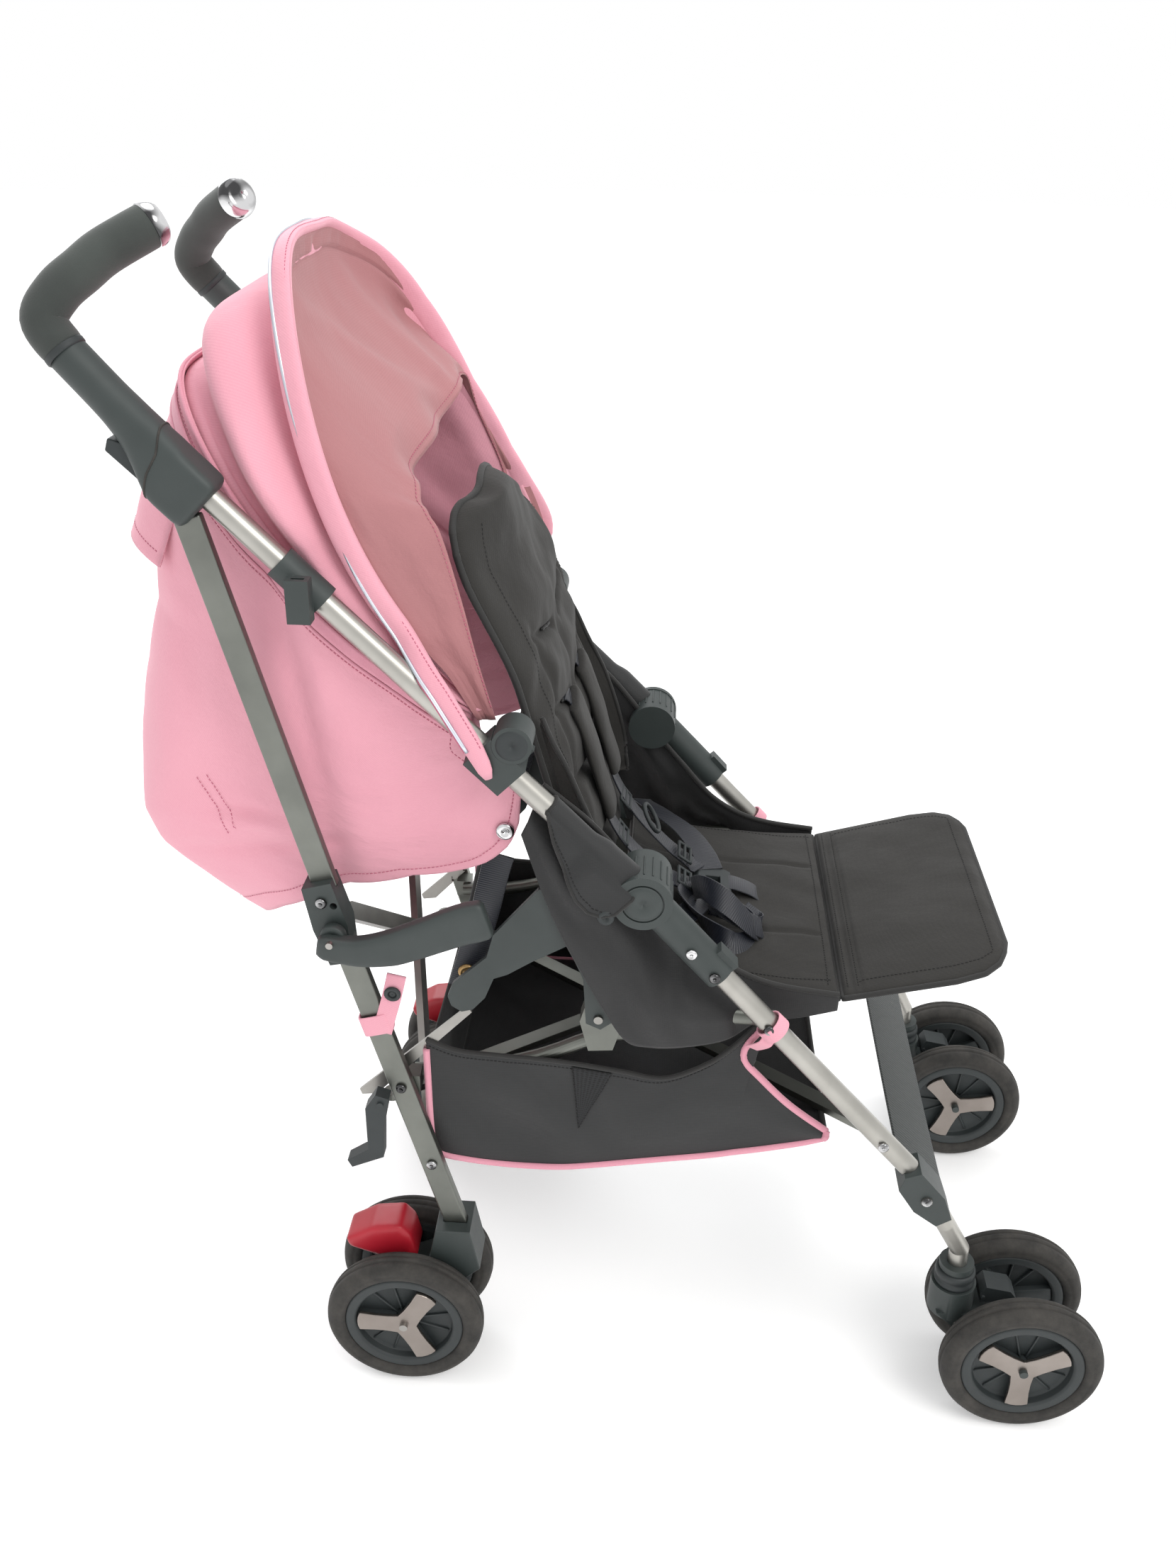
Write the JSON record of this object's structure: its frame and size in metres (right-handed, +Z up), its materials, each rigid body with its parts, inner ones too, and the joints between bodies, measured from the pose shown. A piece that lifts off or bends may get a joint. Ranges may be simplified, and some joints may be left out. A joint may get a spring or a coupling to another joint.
{
  "type": "baby stroller",
  "caption": "Umbrella-fold baby stroller with hooded canopy, reclining seat, calf rest, storage basket, angled grips and double swivel wheels.",
  "frame": {"origin": "on the floor, at the middle of the stroller's box", "axes": "+Z up, +X the stroller's left, the child faces -Y and the handles are at +Y"},
  "size_m": [0.49, 0.9032, 1.0656],
  "materials": {
    "satin_aluminium": "satin champagne-grey",
    "grey_tube": "satin dark grey",
    "foam_grip": "fine-pored foam",
    "chrome": "polished",
    "grey_plastic": "matt moulded",
    "steel": "satin",
    "red_plastic": "semi-matt",
    "tyre_rubber": "dusty matt",
    "pink_fabric": "woven polyester twill",
    "charcoal_fabric": "fine woven",
    "black_nylon": "light nylon",
    "ribbed_strap": "ribbed",
    "navy_webbing": "woven with sheen"
  },
  "bodies": {
    "seat_base": {"seat_pad": "charcoal_fabric", "canopy_rear": "pink_fabric", "basket": "black_nylon", "foot_strap": "ribbed_strap", "harness": "navy_webbing", "buckle": "grey_plastic", "cross_bolts": "steel"},
    "side_left": {"push_tube_left": "satin_aluminium", "handle_grip_left": "foam_grip", "handle_cap_left": "chrome", "handle_housing_left": "grey_plastic", "fold_hub_left": "grey_plastic", "tube_clips_left": "grey_plastic", "front_leg_left": "satin_aluminium", "leg_joint_left": "grey_plastic", "rear_leg_left": "satin_aluminium", "leg_hinge_left": "grey_plastic", "seat_rail_left": "grey_tube", "rear_axle_block_left": "grey_plastic", "steel_fittings_left": "steel"},
    "side_right": {"push_tube_right": "satin_aluminium", "handle_grip_right": "foam_grip", "handle_cap_right": "chrome", "handle_housing_right": "grey_plastic", "fold_hub_right": "grey_plastic", "tube_clips_right": "grey_plastic", "front_leg_right": "satin_aluminium", "leg_joint_right": "grey_plastic", "rear_leg_right": "satin_aluminium", "leg_hinge_right": "grey_plastic", "seat_rail_right": "grey_tube", "rear_axle_block_right": "grey_plastic", "steel_fittings_right": "steel"},
    "base_bar_a": {"base_bar_a": "grey_tube"},
    "base_bar_b": {"base_bar_b": "grey_tube"},
    "rear_bar_a": {"rear_bar_a": "grey_tube"},
    "rear_bar_b": {"rear_bar_b": "grey_tube"},
    "canopy_front_body": {"canopy_front": "pink_fabric"},
    "backrest": {"backrest_pad": "charcoal_fabric"},
    "calf_rest": {"calf_rest_pad": "charcoal_fabric"},
    "recline_arm_left_body": {"recline_arm_left": "grey_plastic"},
    "caster_left_body": {"caster_left": "grey_plastic"},
    "caster_lock_left_body": {"caster_lock_left": "grey_plastic"},
    "front_wheel_left_outer_body": {"front_wheel_left_outer": "tyre_rubber"},
    "front_wheel_left_inner_body": {"front_wheel_left_inner": "tyre_rubber"},
    "rear_wheel_left_outer_body": {"rear_wheel_left_outer": "tyre_rubber"},
    "rear_wheel_left_inner_body": {"rear_wheel_left_inner": "tyre_rubber"},
    "brake_pedal_left_body": {"brake_pedal_left": "red_plastic"},
    "handle_trigger_left_body": {"handle_trigger_left": "grey_plastic"},
    "recline_arm_right_body": {"recline_arm_right": "grey_plastic"},
    "caster_right_body": {"caster_right": "grey_plastic"},
    "caster_lock_right_body": {"caster_lock_right": "grey_plastic"},
    "front_wheel_right_outer_body": {"front_wheel_right_outer": "tyre_rubber"},
    "front_wheel_right_inner_body": {"front_wheel_right_inner": "tyre_rubber"},
    "rear_wheel_right_outer_body": {"rear_wheel_right_outer": "tyre_rubber"},
    "rear_wheel_right_inner_body": {"rear_wheel_right_inner": "tyre_rubber"},
    "brake_pedal_right_body": {"brake_pedal_right": "red_plastic"},
    "handle_trigger_right_body": {"handle_trigger_right": "grey_plastic"},
    "fold_pedal_body": {"fold_pedal": "grey_plastic"},
    "carry_handle_body": {"carry_handle": "grey_plastic"}
  },
  "joints": [
    {"name": "fold_left", "type": "slide", "parent": "seat_base", "child": "side_left", "axis": [-1, 0, 0], "range_m": [0, 0.085], "deforming": ["seat_pad", "canopy_rear", "canopy_front", "backrest_pad", "calf_rest_pad", "basket", "foot_strap", "harness"]},
    {"name": "fold_right", "type": "slide", "parent": "seat_base", "child": "side_right", "axis": [1, 0, 0], "range_m": [0, 0.085]},
    {"name": "base_bar_a_turn", "type": "hinge", "parent": "seat_base", "child": "base_bar_a", "pos_m": [0, 0, 0.297], "axis": [0, 0, 1], "range_deg": [-20.4, 0]},
    {"name": "base_bar_b_turn", "type": "hinge", "parent": "seat_base", "child": "base_bar_b", "pos_m": [0, 0, 0.297], "axis": [0, 0, 1], "range_deg": [0, 20.4]},
    {"name": "rear_bar_a_turn", "type": "hinge", "parent": "seat_base", "child": "rear_bar_a", "pos_m": [0, 0.21714, 0.375], "axis": [0, -0.9637, 0.2671], "range_deg": [-30.1, 0]},
    {"name": "rear_bar_b_turn", "type": "hinge", "parent": "seat_base", "child": "rear_bar_b", "pos_m": [0, 0.21714, 0.375], "axis": [0, -0.9637, 0.2671], "range_deg": [0, 30.1]},
    {"name": "canopy_open", "type": "hinge", "parent": "seat_base", "child": "canopy_front_body", "pos_m": [0, 0.101, 0.683], "axis": [1, 0, 0], "range_deg": [-4, 40]},
    {"name": "backrest_recline", "type": "hinge", "parent": "seat_base", "child": "backrest", "pos_m": [0, 0.029, 0.411], "axis": [-1, 0, 0], "range_deg": [0, 22]},
    {"name": "calf_rest_lower", "type": "hinge", "parent": "seat_base", "child": "calf_rest", "pos_m": [0, -0.191, 0.424], "axis": [1, 0, 0], "range_deg": [0, 70]},
    {"name": "recline_arm_left_turn", "type": "hinge", "parent": "side_left", "child": "recline_arm_left_body", "pos_m": [0.1745, 0.029, 0.411], "axis": [-1, 0, 0], "range_deg": [0, 22.5]},
    {"name": "caster_left_swivel", "type": "hinge", "parent": "side_left", "child": "caster_left_body", "pos_m": [0.1865, -0.316, 0.13], "axis": [0, 0, 1], "continuous": true},
    {"name": "caster_lock_left_flip", "type": "hinge", "parent": "caster_left_body", "child": "caster_lock_left_body", "pos_m": [0.1865, -0.343, 0.124], "axis": [1, 0, 0], "range_deg": [0, 12]},
    {"name": "front_wheel_left_outer_spin", "type": "hinge", "parent": "caster_left_body", "child": "front_wheel_left_outer_body", "pos_m": [0.229, -0.379, 0.076], "axis": [1, 0, 0], "continuous": true},
    {"name": "front_wheel_left_inner_spin", "type": "hinge", "parent": "caster_left_body", "child": "front_wheel_left_inner_body", "pos_m": [0.144, -0.379, 0.076], "axis": [1, 0, 0], "continuous": true},
    {"name": "rear_wheel_left_outer_spin", "type": "hinge", "parent": "side_left", "child": "rear_wheel_left_outer_body", "pos_m": [0.219, 0.207, 0.076], "axis": [1, 0, 0], "continuous": true},
    {"name": "rear_wheel_left_inner_spin", "type": "hinge", "parent": "side_left", "child": "rear_wheel_left_inner_body", "pos_m": [0.144, 0.207, 0.076], "axis": [1, 0, 0], "continuous": true},
    {"name": "brake_pedal_left_press", "type": "hinge", "parent": "side_left", "child": "brake_pedal_left_body", "pos_m": [0.1825, 0.204, 0.14], "axis": [-1, 0, 0], "range_deg": [0, 15]},
    {"name": "handle_trigger_left_pull", "type": "slide", "parent": "side_left", "child": "handle_trigger_left_body", "axis": [0, 0.712, 0.7021], "range_m": [0, 0.006], "stiffness_N_per_m": 600, "springref_m": -0.001},
    {"name": "recline_arm_right_turn", "type": "hinge", "parent": "side_right", "child": "recline_arm_right_body", "pos_m": [-0.1745, 0.029, 0.411], "axis": [-1, 0, 0], "range_deg": [0, 22.5]},
    {"name": "caster_right_swivel", "type": "hinge", "parent": "side_right", "child": "caster_right_body", "pos_m": [-0.1865, -0.316, 0.13], "axis": [0, 0, 1], "continuous": true},
    {"name": "caster_lock_right_flip", "type": "hinge", "parent": "caster_right_body", "child": "caster_lock_right_body", "pos_m": [-0.1865, -0.343, 0.124], "axis": [1, 0, 0], "range_deg": [0, 12]},
    {"name": "front_wheel_right_outer_spin", "type": "hinge", "parent": "caster_right_body", "child": "front_wheel_right_outer_body", "pos_m": [-0.229, -0.379, 0.076], "axis": [1, 0, 0], "continuous": true},
    {"name": "front_wheel_right_inner_spin", "type": "hinge", "parent": "caster_right_body", "child": "front_wheel_right_inner_body", "pos_m": [-0.144, -0.379, 0.076], "axis": [1, 0, 0], "continuous": true},
    {"name": "rear_wheel_right_outer_spin", "type": "hinge", "parent": "side_right", "child": "rear_wheel_right_outer_body", "pos_m": [-0.219, 0.207, 0.076], "axis": [1, 0, 0], "continuous": true},
    {"name": "rear_wheel_right_inner_spin", "type": "hinge", "parent": "side_right", "child": "rear_wheel_right_inner_body", "pos_m": [-0.144, 0.207, 0.076], "axis": [1, 0, 0], "continuous": true},
    {"name": "brake_pedal_right_press", "type": "hinge", "parent": "side_right", "child": "brake_pedal_right_body", "pos_m": [-0.1825, 0.204, 0.14], "axis": [-1, 0, 0], "range_deg": [0, 15]},
    {"name": "handle_trigger_right_pull", "type": "slide", "parent": "side_right", "child": "handle_trigger_right_body", "axis": [0, 0.712, 0.7021], "range_m": [0, 0.006], "stiffness_N_per_m": 600, "springref_m": -0.001},
    {"name": "fold_pedal_press", "type": "hinge", "parent": "side_right", "child": "fold_pedal_body", "pos_m": [-0.197, 0.222, 0.324], "axis": [-1, 0, 0], "range_deg": [0, 14], "stiffness_Nm_per_rad": 1, "springref_deg": -11.46},
    {"name": "carry_handle_lift", "type": "hinge", "parent": "side_right", "child": "carry_handle_body", "pos_m": [-0.212, 0.251, 0.506], "axis": [-1, 0, 0], "range_deg": [0, 45]}
  ],
  "couplings": [
    {"joint": "fold_right", "follows": "fold_left", "ratio": 1},
    {"joint": "base_bar_a_turn", "follows": "fold_left", "rad_per_m": -4.1114},
    {"joint": "base_bar_b_turn", "follows": "fold_left", "rad_per_m": 4.1114},
    {"joint": "rear_bar_a_turn", "follows": "fold_left", "rad_per_m": -6.1025},
    {"joint": "rear_bar_b_turn", "follows": "fold_left", "rad_per_m": 6.1025},
    {"joint": "recline_arm_left_turn", "follows": "backrest_recline", "ratio": 1},
    {"joint": "recline_arm_right_turn", "follows": "backrest_recline", "ratio": 1}
  ]
}
